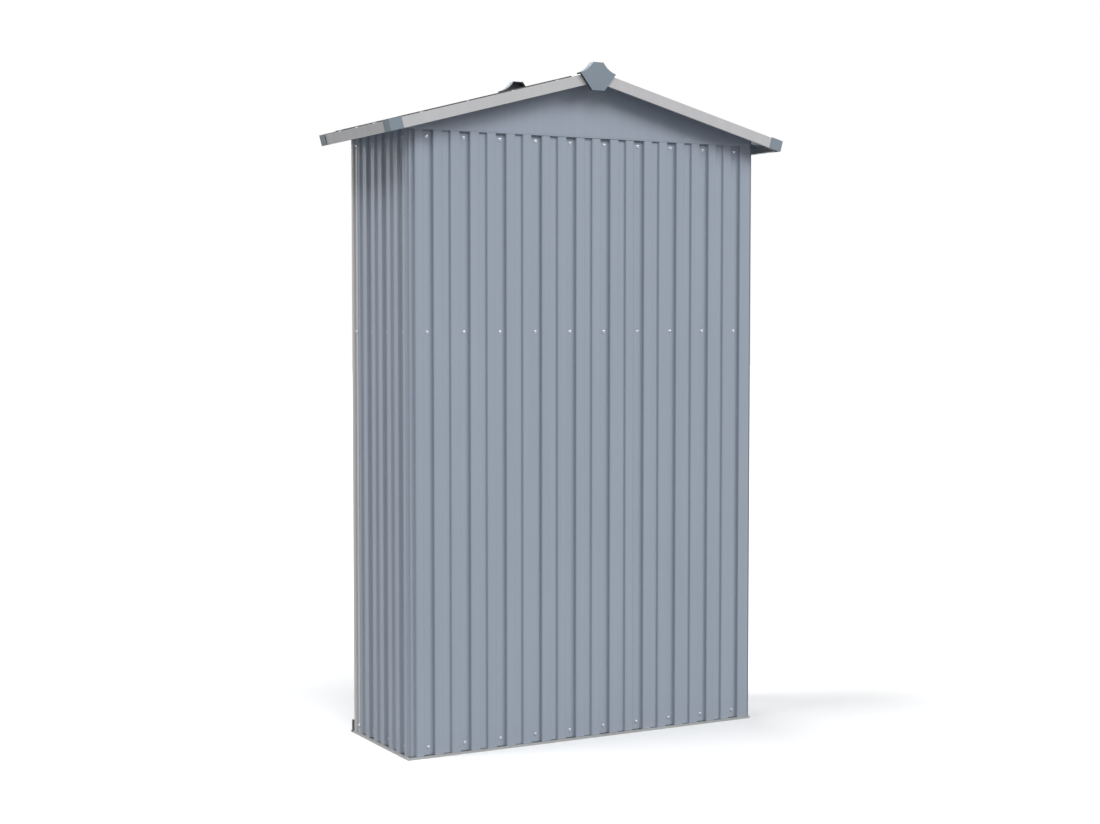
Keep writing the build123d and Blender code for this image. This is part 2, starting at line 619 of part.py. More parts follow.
def hinge_leaf(direction, z0, z1, knuckles):
    """Leaf that runs from the pin to one side, with a bored knuckle for each (low, high)."""
    near = HINGE_X + direction * (HINGE_KNUCKLE_RADIUS + HINGE_LEAF_GAP)
    far = near + direction * HINGE_LEAF_WIDTH
    front = DOOR_FRONT - HINGE_LEAF
    leaf = block(near, far, front, DOOR_FRONT, z0, z1)
    for low, high in knuckles:
        leaf += block(HINGE_X, near, front, DOOR_FRONT, low, high)
        leaf += hinge_barrel(HINGE_KNUCKLE_RADIUS, low, high)
    return leaf - hinge_barrel(HINGE_PIN_RADIUS + HINGE_PIN_CLEARANCE, z0, z1, across_flats=True)


def hinges():
    post_leaves, door_leaves, pins = [], [], []
    for middle in HINGE_HEIGHTS:
        low, high = middle - HINGE_HEIGHT / 2, middle + HINGE_HEIGHT / 2
        inner_low, inner_high = middle - HINGE_HEIGHT / 6, middle + HINGE_HEIGHT / 6
        outer = [(low, inner_low - HINGE_KNUCKLE_GAP / 2), (inner_high + HINGE_KNUCKLE_GAP / 2, high)]
        inner = [(inner_low + HINGE_KNUCKLE_GAP / 2, inner_high - HINGE_KNUCKLE_GAP / 2)]
        post_leaves.append(hinge_leaf(1, low, high, outer))
        door_leaves.append(hinge_leaf(-1, low, high, inner))
        pin = cylinder(HINGE_PIN_RADIUS, (HINGE_X, HINGE_Y, low), (HINGE_X, HINGE_Y, high))
        pins.append(pin + hinge_barrel(HINGE_HEAD_RADIUS, high, high + HINGE_HEAD_HEIGHT))
    save("right_door_hinge_leaves", *door_leaves)
    save("left_door_hinge_leaves", *[to_left(leaf) for leaf in door_leaves])
    save("post_hinge_leaves", *post_leaves, *[to_left(leaf) for leaf in post_leaves])
    save("hinge_pins", *pins, *[to_left(pin) for pin in pins])


def pull_handles():
    """Moulded bow with chamfered edges and a tapered foot at each end, on each meeting stile."""
    x = DOOR_X0 + DOOR_STILE / 2
    half = HANDLE_LENGTH / 2

    def arch(outward):
        reach, rise = HANDLE_REACH + outward, half + outward
        bow = FilletPolyline((0, -rise), (-reach, -rise), (-reach, rise), (0, rise),
                             radius=HANDLE_BEND + outward)
        return make_face(Curve() + [bow, Line((0, rise), (0, -rise))])

    profile = arch(HANDLE_THICKNESS / 2) - arch(-HANDLE_THICKNESS / 2)
    side = Plane.YZ.offset(x - HANDLE_WIDTH / 2) * Pos(DOOR_FRONT, HANDLE_Z) * profile
    bow = extrude(side, HANDLE_WIDTH, dir=(1, 0, 0))
    rims = [edge for face in bow.faces().filter_by(Axis.X) for edge in face.edges()]
    handle = chamfer([edge for edge in rims if edge.center().Y < DOOR_FRONT - HANDLE_FOOT], HANDLE_EDGE)
    for z in (HANDLE_Z - half, HANDLE_Z + half):
        seat = Plane(origin=(x, DOOR_FRONT, z), x_dir=(1, 0, 0), z_dir=(0, -1, 0))
        foot = seat * Rectangle(HANDLE_FOOT_WIDTH, HANDLE_FOOT_HEIGHT)
        handle += extrude(foot, HANDLE_FOOT, taper=HANDLE_FOOT_TAPER)
    save_both("handle", handle)


def latch():
    """Barrel bolt on the right-hand door, drawn back, and its keeper on the left-hand door."""
    plate_front = DOOR_FRONT - LATCH_PLATE
    axis_y = plate_front - LATCH_GUIDE_DEPTH / 2
    guide_front = plate_front - LATCH_GUIDE_DEPTH
    low, high = LATCH_Z - LATCH_GUIDE_HEIGHT / 2, LATCH_Z + LATCH_GUIDE_HEIGHT / 2
    plate_low, plate_high = LATCH_Z - LATCH_PLATE_HEIGHT / 2, LATCH_Z + LATCH_PLATE_HEIGHT / 2

    def bored(x0, x1, guide_starts, width, clearance):
        plate = block(x0, x1, plate_front, DOOR_FRONT, plate_low, plate_high)
        for start in guide_starts:
            plate += block(start, start + width, guide_front, plate_front, low, high)
        bore = LATCH_BOLT_RADIUS + clearance
        return plate - cylinder(bore, (x0, axis_y, LATCH_Z), (x1, axis_y, LATCH_Z))

    first = DOOR_X0 + LATCH_EDGE
    second = first + LATCH_GUIDE_SPACING
    plate_end = second + LATCH_GUIDE_WIDTH + LATCH_PLATE_MARGIN
    save("latch_housing", bored(first - LATCH_PLATE_MARGIN, plate_end, (first, second),
                                LATCH_GUIDE_WIDTH, LATCH_CLEARANCE))

    tip = DOOR_X0 + LATCH_BOLT_SETBACK
    rod = cylinder(LATCH_BOLT_RADIUS, (tip, axis_y, LATCH_Z), (tip + LATCH_BOLT_LENGTH, axis_y, LATCH_Z))
    knob_x = tip + LATCH_KNOB_PLACE
    knob_end = axis_y - LATCH_KNOB_REACH
    rod += cylinder(LATCH_KNOB_RADIUS, (knob_x, axis_y, LATCH_Z), (knob_x, knob_end, LATCH_Z))
    save("latch_bolt", rod)

    keeper = bored(DOOR_X0 + KEEPER_EDGE - LATCH_PLATE_MARGIN,
                   DOOR_X0 + KEEPER_EDGE + KEEPER_WIDTH + LATCH_PLATE_MARGIN,
                   (DOOR_X0 + KEEPER_EDGE,), KEEPER_WIDTH, KEEPER_CLEARANCE)
    save("latch_keeper", to_left(keeper))


def bolt_head(place, direction):
    """Faceted pan head that stands on a face at a place, facing along a direction."""
    base = Plane(origin=place, z_dir=direction) * RegularPolygon(BOLT_HEAD_RADIUS, BOLT_HEAD_SIDES)
    return extrude(base, BOLT_HEAD_HEIGHT, taper=BOLT_HEAD_TAPER)


def wall_bolts():
    rear, side = [], []
    for index in range(rear_valley_count()):
        x = HALF_WIDTH - REAR_FIRST_VALLEY - index * REAR_RIB_PITCH
        under = VALLEYS_PER_SHEET < index < 2 * VALLEYS_PER_SHEET
        y = HALF_DEPTH - VALLEY_INSET - (SHEET if under else 0)
        rear += [bolt_head((x, y, z), (0, 1, 0)) for z in BOLT_ROWS]
    save("rear_wall_bolts", *rear)

    valley_x = HALF_WIDTH - VALLEY_INSET - SHEET
    places = [(valley_x, HALF_DEPTH - SIDE_FIRST_VALLEY - index * SIDE_RIB_PITCH / 2)
              for index in side_valley_indices() if index % 2 == 0]
    lap_x = HALF_WIDTH - INNER_CREST_INSET + SECTION
    places.append((lap_x, POST_SIDE - POST_BOLT_INSET - HALF_DEPTH))
    for x, y in places:
        side += [bolt_head((x, y, z), (1, 0, 0)) for z in BOLT_ROWS]
    save("side_wall_bolts", *side, *[to_left(head) for head in side])


os.makedirs("parts", exist_ok=True)
base_frame()
front_sill()
rear_wall()
side_walls()
front_posts()
inner_rails()
front_header()
gables_and_ridge_beam()
roof_sheets()
roof_trims()
corner_caps()
ridge_caps()
door_frame()
door_sheet()
hinges()
pull_handles()
latch()
wall_bolts()
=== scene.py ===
import math

import bmesh
import bpy
from mathutils import Matrix, Vector


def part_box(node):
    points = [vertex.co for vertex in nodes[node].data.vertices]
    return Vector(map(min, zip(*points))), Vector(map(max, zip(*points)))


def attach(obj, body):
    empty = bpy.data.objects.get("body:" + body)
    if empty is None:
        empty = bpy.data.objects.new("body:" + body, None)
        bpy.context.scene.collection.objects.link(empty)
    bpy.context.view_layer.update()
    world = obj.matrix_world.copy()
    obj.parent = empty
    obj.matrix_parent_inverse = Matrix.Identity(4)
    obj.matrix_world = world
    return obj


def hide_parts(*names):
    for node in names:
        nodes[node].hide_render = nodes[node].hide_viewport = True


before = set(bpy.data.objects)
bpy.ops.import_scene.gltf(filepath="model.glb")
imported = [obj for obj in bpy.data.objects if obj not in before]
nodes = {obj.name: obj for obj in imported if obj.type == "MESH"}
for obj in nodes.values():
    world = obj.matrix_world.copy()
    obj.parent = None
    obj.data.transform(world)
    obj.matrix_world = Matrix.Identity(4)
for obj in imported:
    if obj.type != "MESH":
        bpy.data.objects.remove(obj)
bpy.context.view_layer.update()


# Base rails and sill.
# Folded steel strip, hot-dip galvanised, so the zinc shows its crystals. The rails lie flat on the ground,
# meet in mitres at the rear corners and carry the wall sheets on a low ledge.

LEDGE_HEIGHT = 0.006
CREST_LINES = {"X": 0.5075, "Y": 0.1741}    # half the width and the depth over the crests of the walls
# painted shade: a near-black tint on the ledge of the base behind the wall's crests, at the valleys' feet
LEDGE_SHADE = (0.03, 0.03, 0.032, 1)
LEDGE_SHADE_SHARE = 0.75
ZINC_DUST = (0.33, 0.32, 0.31, 1)
ZINC_DUST_SHARE = 0.5


def join(tree, socket, value):
    """Set a socket, or link it where the value is another socket."""
    if isinstance(value, bpy.types.NodeSocket):
        tree.links.new(value, socket)
    else:
        socket.default_value = value


def add(tree, kind, options=None, **sockets):
    """Add a shader node with its options and its sockets by name, with _ for a space."""
    made = tree.nodes.new("ShaderNode" + kind)
    for name, value in (options or {}).items():
        setattr(made, name, value)
    for name, value in sockets.items():
        join(tree, made.inputs[name.replace("_", " ")], value)
    return made


def maths(tree, operation, *values):
    """Result of one step of arithmetic."""
    made = tree.nodes.new("ShaderNodeMath")
    made.operation = operation
    for socket, value in zip(made.inputs, values):
        join(tree, socket, value)
    return made.outputs[0]


def tint(tree, share, first, second):
    """Colour between two colours."""
    made = tree.nodes.new("ShaderNodeMix")
    made.data_type = "RGBA"
    for index, value in ((0, share), (6, first), (7, second)):
        join(tree, made.inputs[index], value)
    return made.outputs[2]


def span(tree, value, low, high, start=0.0, end=1.0):
    """Map a value from one range to another, held at the ends."""
    made = add(tree, "MapRange", None, Value=value, From_Min=low, From_Max=high, To_Min=start, To_Max=end)
    return made.outputs["Result"]


def new_group(name, inputs, outputs):
    """Shader node group with number inputs and the named outputs."""
    tree = bpy.data.node_groups.new(name, "ShaderNodeTree")
    for label, value in inputs.items():
        tree.interface.new_socket(label, in_out="INPUT", socket_type="NodeSocketFloat").default_value = value
    for label, kind in outputs.items():
        tree.interface.new_socket(label, in_out="OUTPUT", socket_type="NodeSocket" + kind)
    return tree, tree.nodes.new("NodeGroupInput").outputs, tree.nodes.new("NodeGroupOutput").inputs


def use(tree, group, **values):
    """Place a node group with its own values and return its outputs."""
    made = tree.nodes.new("ShaderNodeGroup")
    made.node_tree = group
    for name, value in values.items():
        join(tree, made.inputs[name.replace("_", " ")], value)
    return made.outputs


def place(tree):
    """Where a point lies on its piece at rest."""
    return add(tree, "TexCoord").outputs["Object"]


def spot(tree):
    """X, Y and Z of that point."""
    return add(tree, "SeparateXYZ", None, Vector=place(tree)).outputs


def facing(tree):
    """X, Y and Z of the direction that the surface faces."""
    return add(tree, "SeparateXYZ", None, Vector=add(tree, "NewGeometry").outputs["Normal"]).outputs


def noise(tree, scale, detail, **sockets):
    """Outputs of a noise that runs through the piece."""
    return add(tree, "TexNoise", None, Vector=place(tree), Scale=scale, Detail=detail, **sockets).outputs


def emboss(tree, shader, height, normal, strength, distance):
    """Give a shader its fine relief, on top of the softened edges."""
    bump = add(tree, "Bump", None, Strength=strength, Distance=distance, Height=height, Normal=normal)
    join(tree, shader["Normal"], bump.outputs["Normal"])


def new_material(name, **constants):
    """Material with a Principled shader whose constant sockets are set here."""
    material = bpy.data.materials.new(name)
    material.use_nodes = True
    tree = material.node_tree
    shader = tree.nodes["Principled BSDF"]
    for label, value in constants.items():
        shader.inputs[label.replace("_", " ")].default_value = value
    return material, tree, shader.inputs


def dress(material, *names):
    """Give CAD pieces a finish."""
    for name in names:
        nodes[name].material_slots[0].material = material


EDGE_RESULTS = {"Normal": "Vector", "Wear": "Float", "Bend": "Float"}
SKIN_RESULTS = {"Shade": "Float", "Height": "Float"}

soft_edge, given, result = new_group("soft_edge", {"Radius": 0.0005}, EDGE_RESULTS)
rounded = add(soft_edge, "Bevel", {"samples": 4}, Radius=given["Radius"]).outputs["Normal"]
flat = add(soft_edge, "NewGeometry").outputs["Normal"]
along = add(soft_edge, "VectorMath", {"operation": "DOT_PRODUCT"})
join(soft_edge, along.inputs[0], rounded)
join(soft_edge, along.inputs[1], flat)
chips = span(soft_edge, noise(soft_edge, 90.0, 4.0)["Fac"], 0.42, 0.62)
bare = span(soft_edge, along.outputs["Value"], 0.98, 0.80)
join(soft_edge, result["Normal"], rounded)
join(soft_edge, result["Wear"], maths(soft_edge, "MULTIPLY", bare, chips))
join(soft_edge, result["Bend"], span(soft_edge, along.outputs["Value"], 0.995, 0.96))

settled_dust, given, result = new_group("settled_dust", {"Rise": 0.2, "Ledges": 0.4}, {"Mask": "Float"})
height_share = maths(settled_dust, "DIVIDE", spot(settled_dust)["Z"], given["Rise"])
low_down = maths(settled_dust, "POWER", span(settled_dust, height_share, 1.0, 0.0), 2.0)
upward = span(settled_dust, facing(settled_dust)["Z"], 0.5, 1.0)
on_top = maths(settled_dust, "MULTIPLY", upward, given["Ledges"])
patches = span(settled_dust, noise(settled_dust, 22.0, 7.0, Roughness=0.65)["Fac"], 0.35, 0.75)
settled = maths(settled_dust, "MAXIMUM", low_down, on_top)
join(settled_dust, result["Mask"], maths(settled_dust, "MULTIPLY", settled, patches))

zinc_crystals, given, result = new_group("zinc_crystals", {"Scale": 120.0}, SKIN_RESULTS)
bent_place = add(zinc_crystals, "VectorMath", {"operation": "MULTIPLY_ADD"})
join(zinc_crystals, bent_place.inputs[0], noise(zinc_crystals, 160.0, 2.0)["Color"])
join(zinc_crystals, bent_place.inputs[1], (0.004, 0.004, 0.004))
join(zinc_crystals, bent_place.inputs[2], place(zinc_crystals))
cells = add(zinc_crystals, "TexVoronoi", None, Vector=bent_place.outputs[0], Scale=given["Scale"])
cell_shade = add(zinc_crystals, "SeparateColor", None, Color=cells.outputs["Color"]).outputs["Red"]
bloom = noise(zinc_crystals, 9.0, 5.0)["Fac"]
shade = maths(zinc_crystals, "MULTIPLY_ADD", bloom, 0.6, maths(zinc_crystals, "MULTIPLY", cell_shade, 0.4))
join(zinc_crystals, result["Shade"], shade)
join(zinc_crystals, result["Height"], cell_shade)


def galvanised(name, dark, light, dust_rise):
    """Zinc-coated strip with crystals, duller patches, some dust, and painted shade on the ledge of the base.
    """
    material, tree, shader = new_material(name, Metallic=0.85)
    zinc = use(tree, zinc_crystals, Scale=130.0)
    edge = use(tree, soft_edge, Radius=0.0005)
    dust = use(tree, settled_dust, Rise=dust_rise, Ledges=0.25)["Mask"]
    # Painted shade: the ledge behind the crests of the walls takes the near-black tint.
    point = spot(tree)
    off_ledge = maths(tree, "ABSOLUTE", maths(tree, "SUBTRACT", point["Z"], LEDGE_HEIGHT))
    on_ledge = span(tree, off_ledge, 0.0004, 0.0002)
    for axis, crest in CREST_LINES.items():
        behind = span(tree, maths(tree, "ABSOLUTE", point[axis]), crest, crest - 0.001)
        on_ledge = maths(tree, "MULTIPLY", on_ledge, behind)
    colour = tint(tree, zinc["Shade"], (*dark, 1), (*light, 1))
    colour = tint(tree, maths(tree, "MULTIPLY", dust, ZINC_DUST_SHARE), colour, ZINC_DUST)
    colour = tint(tree, maths(tree, "MULTIPLY", on_ledge, LEDGE_SHADE_SHARE), colour, LEDGE_SHADE)
    join(tree, shader["Base Color"], colour)
    dull = span(tree, zinc["Shade"], 0.2, 0.8, 0.42, 0.56)
    join(tree, shader["Roughness"], maths(tree, "ADD", dull, maths(tree, "MULTIPLY", dust, 0.2)))
    emboss(tree, shader, zinc["Height"], edge["Normal"], 0.12, 0.0002)
    return material


base_zinc = galvanised("base_galvanised", (0.29, 0.295, 0.30), (0.41, 0.415, 0.42), 0.05)
dress(base_zinc, "rear_base_rail", "right_base_rail", "left_base_rail", "front_sill")


# Wall, gable and roof sheets.
# Thin steel, coil-coated blue-grey before the ribs are rolled, so the satin paint keeps faint streaks along
# the ribs. Three rear sheets lap in bolt valleys and the side sheets turn round the rear corners.

END_SHADE_START = -0.5070       # from here to its left-hand fold the rear wall has painted shade
PAINT_DUST = (0.36, 0.34, 0.31, 1)
PAINT_DUST_SHARE = 0.2

paint_skin, given, result = new_group("paint_skin", {"Grain": 420.0}, SKIN_RESULTS)
stretched = add(paint_skin, "Mapping", None, Vector=place(paint_skin), Scale=(48.0, 48.0, 0.8))
streaks = add(paint_skin, "TexNoise", None, Vector=stretched.outputs["Vector"], Scale=1.0, Detail=3.0)
clouds = maths(paint_skin, "MULTIPLY", noise(paint_skin, 2.6, 3.0)["Fac"], 0.4)
mixed_shade = maths(paint_skin, "MULTIPLY_ADD", streaks.outputs["Fac"], 0.6, clouds)
join(paint_skin, result["Shade"], span(paint_skin, mixed_shade, 0.3, 0.7))
join(paint_skin, result["Height"], noise(paint_skin, given["Grain"], 2.0)["Fac"])


def painted(name, dark, light, bend_shade, roughness, edge_radius, dust_rise, shade_start=None):
    """Satin paint with painted shade along its bends and past a line on the rear, and dust near the ground.
    """
    material, tree, shader = new_material(name)
    skin = use(tree, paint_skin, Grain=420.0)
    edge = use(tree, soft_edge, Radius=edge_radius)
    dust = use(tree, settled_dust, Rise=dust_rise, Ledges=0.3)["Mask"]
    # Painted shade: the bends are tinted darker, and so is the rear wall past the line at its left-hand end.
    painted_shade = maths(tree, "MULTIPLY", edge["Bend"], 0.5)
    if shade_start:
        past_line = span(tree, spot(tree)["X"], shade_start, shade_start - 0.001)
        rearward = span(tree, facing(tree)["Y"], 0.93, 0.98)
        painted_shade = maths(tree, "MAXIMUM", painted_shade, maths(tree, "MULTIPLY", past_line, rearward))
    colour = tint(tree, skin["Shade"], (*dark, 1), (*light, 1))
    colour = tint(tree, painted_shade, colour, (*bend_shade, 1))
    colour = tint(tree, maths(tree, "MULTIPLY", dust, PAINT_DUST_SHARE), colour, PAINT_DUST)
    join(tree, shader["Base Color"], colour)
    satin = span(tree, skin["Shade"], 0.0, 1.0, roughness + 0.04, roughness - 0.04)
    join(tree, shader["Roughness"], maths(tree, "ADD", satin, maths(tree, "MULTIPLY", dust, 0.25)))
    emboss(tree, shader, skin["Height"], edge["Normal"], 0.08, 0.0001)
    return material


# The third colour is the painted shade along the bends.
wall_paint = painted("wall_paint", (0.311, 0.359, 0.431), (0.345, 0.395, 0.470), (0.15, 0.18, 0.23), 0.42,
                     0.0006, 0.08, END_SHADE_START)
dress(wall_paint, "rear_panel_right", "rear_panel_middle", "rear_panel_left", "right_side_panel",
      "left_side_panel", "rear_gable", "front_gable", "right_roof_panel", "left_roof_panel", "ridge_strip")


# Front posts and roof trims.
# Folded steel strip with an off-white paint. The posts lap over the side sheets and frame the doorway, and
# the trims are channels pushed over the edges of the roof sheets.

# The third colour is the painted shade along the bends.
trim_paint = painted("trim_paint", (0.53, 0.53, 0.54), (0.585, 0.585, 0.595), (0.40, 0.40, 0.41), 0.45,
                     0.0006, 0.08)
dress(trim_paint, "right_front_post", "left_front_post", "right_eave_trim", "left_eave_trim",
      "rear_verge_trim_right", "rear_verge_trim_left", "front_verge_trim_right", "front_verge_trim_left")


# Inner rails, header and ridge beam.
# Galvanised channels and angles inside the walls. The rows of wall bolts hold them to the sheets.

frame_zinc = galvanised("frame_galvanised", (0.46, 0.47, 0.48), (0.60, 0.61, 0.62), 0.02)
dress(frame_zinc, "rear_mid_rail", "right_mid_rail", "left_mid_rail", "rear_top_rail", "right_top_rail",
      "left_top_rail", "front_header", "ridge_beam")


# Wall bolts and their nuts.
# Bright zinc flange bolts with a cross recess, drawn down on the valley floors in three rows. Each goes
# through the sheet into an inner rail, where a washer and a hexagon nut hold it.

BOLT_RADIUS = 0.0045
BOLT_HEIGHT = 0.0026
BOLT_RINGS = (                  # radius, and share of the height
    (0.0025, 1.0),
    (0.0031, 0.9),
    (0.0035, 0.62),
    (0.0036, 0.36),
    (0.0042, 0.3),
    (BOLT_RADIUS, 0.2),
    (BOLT_RADIUS, 0.0),
)
BOLT_RECESS = {"arm": 0.002, "slot": 0.0009, "depth": 0.0013}
NUT_STEPS = (                   # sides, radius, low end, high end and chamfer
    (20, 0.0046, 0.0, 0.0008, 0.0002),
    (6, 0.0041, 0.0008, 0.0040, 0.0004),
    (16, 0.0020, 0.0040, 0.0062, 0.0005),
)
BOLT_COLUMNS = 10
BOLT_PITCH = 0.10145
MIDDLE_ROW = 1.064
MIDDLE_SHEET_COLUMNS = (4, 5)   # these bolts sit on the middle sheet, which lies one sheet deeper
SIDE_BOLTS = ((0.4995, 0.1283), (0.4995, 0.0303), (0.4995, -0.0677), (0.5085, -0.1463))
RAIL_THICKNESS = 0.001
RUBBED_ZINC = (0.80, 0.80, 0.80, 1)
TURN_STEP = 2.4                 # radians from one fastener to the next
SMOOTH_ANGLE = math.radians(32)


def plated(name, dark, light, roughness):
    """Zinc-plated steel, rubbed bright on its edges."""
    material, tree, shader = new_material(name, Metallic=1.0)
    zinc = use(tree, zinc_crystals, Scale=420.0)
    edge = use(tree, soft_edge, Radius=0.0004)
    colour = tint(tree, zinc["Shade"], (*dark, 1), (*light, 1))
    join(tree, shader["Base Color"], tint(tree, edge["Wear"], colour, RUBBED_ZINC))
    join(tree, shader["Roughness"], span(tree, zinc["Shade"], 0.2, 0.8, roughness + 0.06, roughness - 0.06))
    emboss(tree, shader, zinc["Height"], edge["Normal"], 0.1, 0.0001)
    return material


def cross_head(profile, arm, slot, depth):
    """Round head on +Z with a cross recess. The profile of (radius, z) runs from the top ring to the seat."""
    head = bmesh.new()
    top = profile[0][1]
    slack = 0.05                # so that each ring is counted from the same corner
    floor_place = Matrix.Translation((0, 0, top - depth))
    bmesh.ops.create_grid(head, x_segments=3, y_segments=3, size=arm, matrix=floor_place)
    for vert in head.verts:
        vert.co.xy = [c if abs(c) > arm / 2 else math.copysign(slot / 2, c) for c in vert.co.xy]
    corners = [face for face in head.faces if min(map(abs, face.calc_center_median().xy)) > slot / 2]
    bmesh.ops.delete(head, geom=corners, context="FACES")
    bmesh.ops.subdivide_edges(head, edges=[edge for edge in head.edges if edge.is_boundary], cuts=1)
    ring = [edge for edge in head.edges if edge.is_boundary]
    for radius, z in [(0, top), *profile]:
        grown = bmesh.ops.extrude_edge_only(head, edges=ring)["geom"]
        ring = [item for item in grown if isinstance(item, bmesh.types.BMEdge)]
        rim = {vert for edge in ring for vert in edge.verts}
        rim = sorted(rim, key=lambda vert: (math.atan2(vert.co.y, vert.co.x) + slack) % math.tau)
        for step, vert in enumerate(rim):
            turn = math.tau * step / len(rim)
            vert.co.z = z
            if radius:
                vert.co.xy = radius * math.cos(turn), radius * math.sin(turn)
    bmesh.ops.holes_fill(head, edges=ring, sides=0)
    bmesh.ops.recalc_face_normals(head, faces=head.faces)
    return head


def set_down(shape, places):
    """Copy a shape that stands on +Z to each (seat, direction), each copy turned a little further."""
    one = bpy.data.meshes.new("one")
    shape.to_mesh(one)
    shape.free()
    many = bmesh.new()
    for count, (seat, direction) in enumerate(places):
        start = len(many.verts)
        many.from_mesh(one)
        many.verts.ensure_lookup_table()
        aimed = Vector((0, 0, 1)).rotation_difference(Vector(direction)).to_matrix().to_4x4()
        turned = Matrix.Translation(seat) @ aimed @ Matrix.Rotation(TURN_STEP * count, 4, "Z")
        bmesh.ops.transform(many, matrix=turned, verts=many.verts[start:])
    bpy.data.meshes.remove(one)
    return many


def finish_piece(name, shape, material, body):
    """Turn a bmesh into a named piece that rides on a body."""
    mesh = bpy.data.meshes.new(name)
    shape.to_mesh(mesh)
    shape.free()
    mesh.polygons.foreach_set("use_smooth", [True] * len(mesh.polygons))
    mesh.set_sharp_from_angle(angle=SMOOTH_ANGLE)
    mesh.materials.append(material)
    made = bpy.data.objects.new(name, mesh)
    bpy.context.scene.collection.objects.link(made)
    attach(made, body)
    return made


def fasten(name, shape, places, material, body):
    """Named piece with one fastener at each place."""
    return finish_piece(name, set_down(shape, places), material, body)


def flange_bolt():
    """Head of a bolt with its flange and its cross recess."""
    return cross_head([(radius, share * BOLT_HEIGHT) for radius, share in BOLT_RINGS], **BOLT_RECESS)


def hexagon_nut():
    """Washer, nut with chamfered corners and the rounded end of the bolt."""
    nut = bmesh.new()
    for sides, radius, low, high, chamfer in NUT_STEPS:
        middle = (low + high) / 2
        ring = bmesh.ops.create_cone(nut, cap_ends=True, segments=sides, radius1=radius, radius2=radius,
                                     depth=high - low, matrix=Matrix.Translation((0, 0, middle)))["verts"]
        rim = [edge for edge in nut.edges if all(v in ring and v.co.z > middle for v in edge.verts)]
        bmesh.ops.bevel(nut, geom=rim, offset=chamfer, affect="EDGES", segments=2, profile=0.5, material=-1)
    return nut


bolt_steel = plated("bolt_steel", (0.38, 0.40, 0.43), (0.54, 0.56, 0.60), 0.36)

low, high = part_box("rear_wall_bolts")
rows = (low.z + BOLT_RADIUS, MIDDLE_ROW, high.z - BOLT_RADIUS)
middle = (low.x + high.x) / 2
rear_rail_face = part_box("rear_mid_rail")[1].y - RAIL_THICKNESS
rear_bolts = []
rear_nuts = []
for column in range(BOLT_COLUMNS):
    x = middle + (column - (BOLT_COLUMNS - 1) / 2) * BOLT_PITCH
    seat = low.y if column in MIDDLE_SHEET_COLUMNS else high.y - BOLT_HEIGHT
    rear_bolts += [((x, seat, z), (0, 1, 0)) for z in rows]
    rear_nuts += [((x, rear_rail_face, z), (0, -1, 0)) for z in rows]
rear_heads = fasten("rear_bolt_heads", flange_bolt(), rear_bolts, bolt_steel, "shed")
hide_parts("rear_wall_bolts")
fasten("rear_bolt_nuts", hexagon_nut(), rear_nuts, bolt_steel, "shed")

side_rail_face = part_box("right_mid_rail")[1].x - RAIL_THICKNESS
side_bolts = []
side_nuts = []
for x, y in SIDE_BOLTS:
    for sign in (1, -1):
        side_bolts += [((sign * x, y, z), (sign, 0, 0)) for z in rows]
        side_nuts += [((sign * side_rail_face, y, z), (-sign, 0, 0)) for z in rows]
side_heads = fasten("side_bolt_heads", flange_bolt(), side_bolts, bolt_steel, "shed")
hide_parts("side_wall_bolts")
fasten("side_bolt_nuts", hexagon_nut(), side_nuts, bolt_steel, "shed")


# Roof screws.
# Low zinc screws through the flanges of the trims and the ridge strip into the crests of the roof sheets.

ROOF_PITCH = math.radians(14.85)
TRIM_APEX = 1.729               # where the top faces of the trims would meet above the ridge
SCREW_LINES = (-0.110, 0.0, 0.110)
STRIP_SCREWS = [(0.046, y) for y in SCREW_LINES]
EAVE_SCREWS = [(0.586, y) for y in SCREW_LINES]
VERGE_SCREWS = [(slope, y) for slope in (0.11, 0.24, 0.37, 0.50) for y in (-0.208, 0.208)]
ROOF_SCREW_RADIUS = 0.0042
SCREW_HEIGHT = 0.0009
SCREW_RINGS = ((0.6, 1.0), (0.8, 0.8), (0.95, 0.4), (1.0, 0.1), (1.0, 0.0))    # shares of radius and height


def low_screw(radius):
    """Low round head with a cross recess."""
    profile = [(radius * out, SCREW_HEIGHT * up) for out, up in SCREW_RINGS]
    return cross_head(profile, arm=0.48 * radius, slot=0.2 * radius, depth=0.6 * SCREW_HEIGHT)


roof_places = []
for slope, y in STRIP_SCREWS + EAVE_SCREWS + VERGE_SCREWS:
    for sign in (1, -1):
        seat = (sign * slope * math.cos(ROOF_PITCH), y, TRIM_APEX - slope * math.sin(ROOF_PITCH))
        roof_places.append((seat, (sign * math.sin(ROOF_PITCH), 0, math.cos(ROOF_PITCH))))
fasten("roof_screws", low_screw(ROOF_SCREW_RADIUS), roof_places, bolt_steel, "shed")


# Corner and ridge caps.
# Moulded plastic, blue-grey like the walls but matt. They close the ends of the trims and of the ridge.

moulded_grain, given, result = new_group("moulded_grain", {"Scale": 900.0}, SKIN_RESULTS)
pits = add(moulded_grain, "TexVoronoi", {"feature": "SMOOTH_F1"}, Vector=place(moulded_grain),
           Scale=given["Scale"])
join(moulded_grain, result["Shade"], noise(moulded_grain, 14.0, 4.0)["Fac"])
join(moulded_grain, result["Height"], pits.outputs["Distance"])


